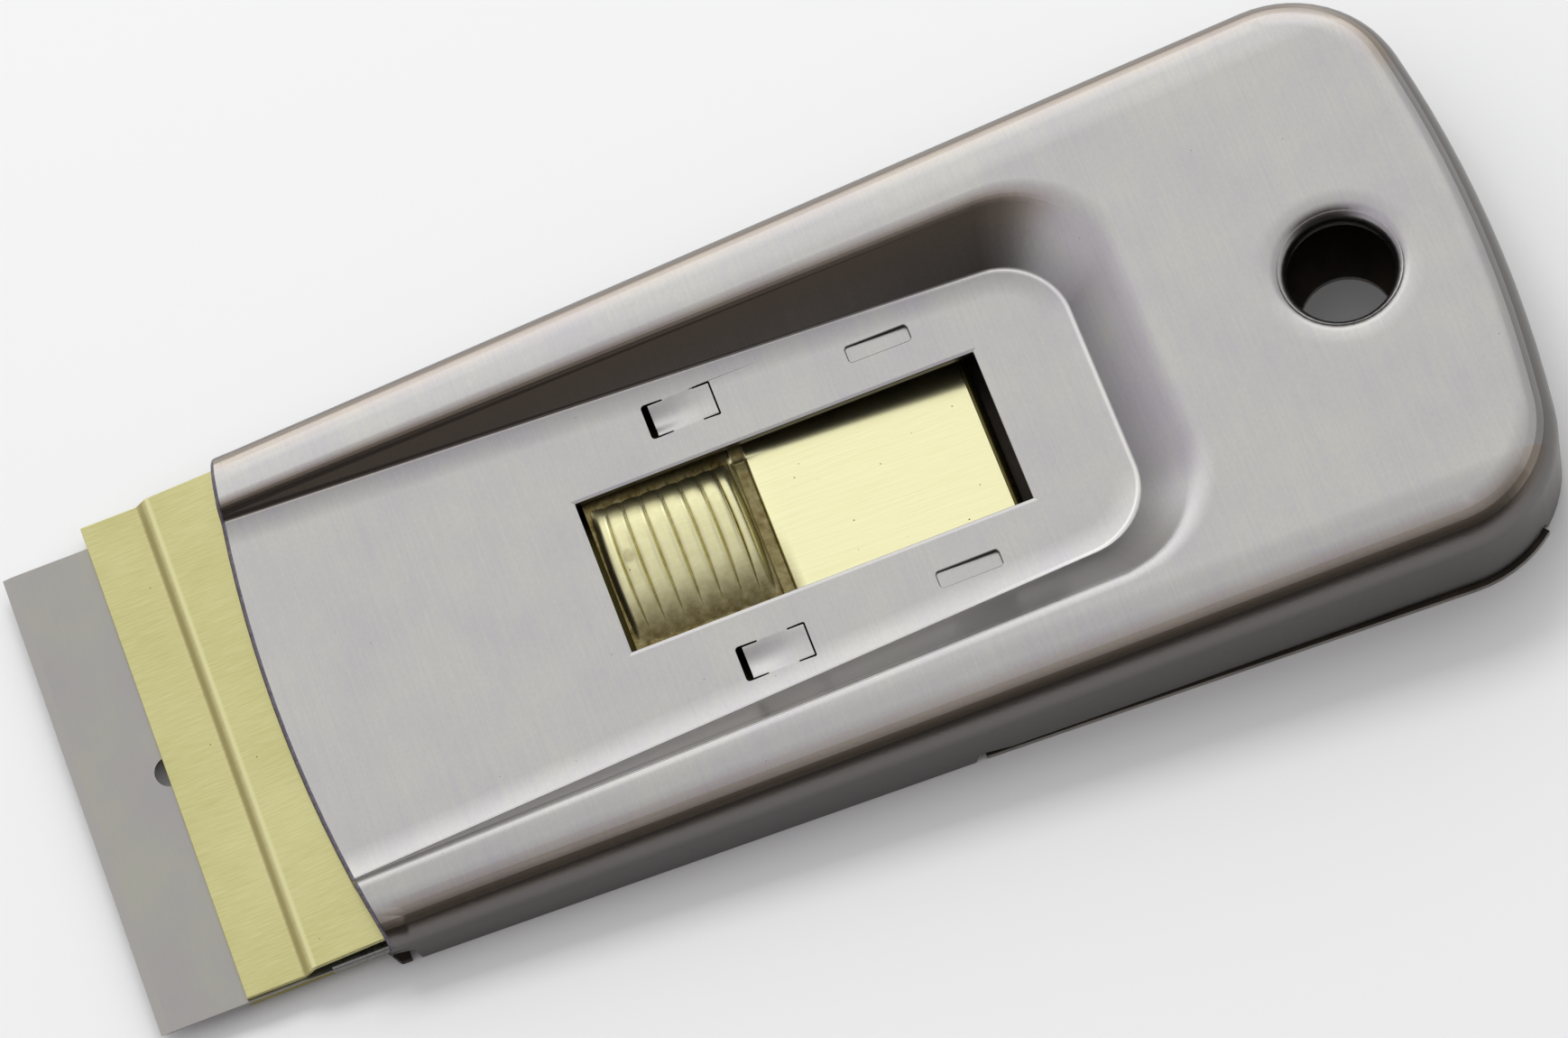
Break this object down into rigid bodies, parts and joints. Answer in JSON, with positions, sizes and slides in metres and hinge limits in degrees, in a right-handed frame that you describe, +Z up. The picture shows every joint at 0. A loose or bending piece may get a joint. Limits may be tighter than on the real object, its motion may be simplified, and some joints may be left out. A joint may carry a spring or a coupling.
{
  "type": "window scraper",
  "caption": "Pocket window scraper: stainless cover with a sunk thumb window and a hang hole, and a brass carriage that slides a single-edge blade in and out.",
  "frame": {"origin": "centre of the bounding box's base, on the surface that the back plate lies on, with the blade out", "axes": "+X along the handle from the blade to the hang hole, +Y to the left seen from the blade, +Z up out of the cover's face"},
  "size_m": [0.1092, 0.0468, 0.0098],
  "materials": {
    "cover_steel": "satin brushed across the handle",
    "back_steel": "mill finish",
    "tray_brass": "brushed, a little tarnished",
    "clamp_brass": "brushed along the handle",
    "leaf_brass": "bright rolled, worn on the ribs",
    "blade_steel": "fine ground",
    "spine_steel": "plated"
  },
  "bodies": {
    "housing": {"top_cover": "cover_steel", "back_plate": "back_steel"},
    "carriage": {"carriage_tray": "tray_brass", "blade_clamp": "clamp_brass", "blade": "blade_steel", "blade_spine": "spine_steel"},
    "leaf": {"thumb_leaf": "leaf_brass"}
  },
  "joints": [
    {"name": "carriage_slide", "type": "slide", "parent": "housing", "child": "carriage", "axis": [1, 0, 0], "range_m": [0, 0.0184]},
    {"name": "thumb_press", "type": "hinge", "parent": "carriage", "child": "leaf", "pos_m": [0.01572, 0, 0.00186], "axis": [0, -1, 0], "range_deg": [0, 2.44], "stiffness_Nm_per_rad": 0.5, "springref_deg": -2.86}
  ]
}
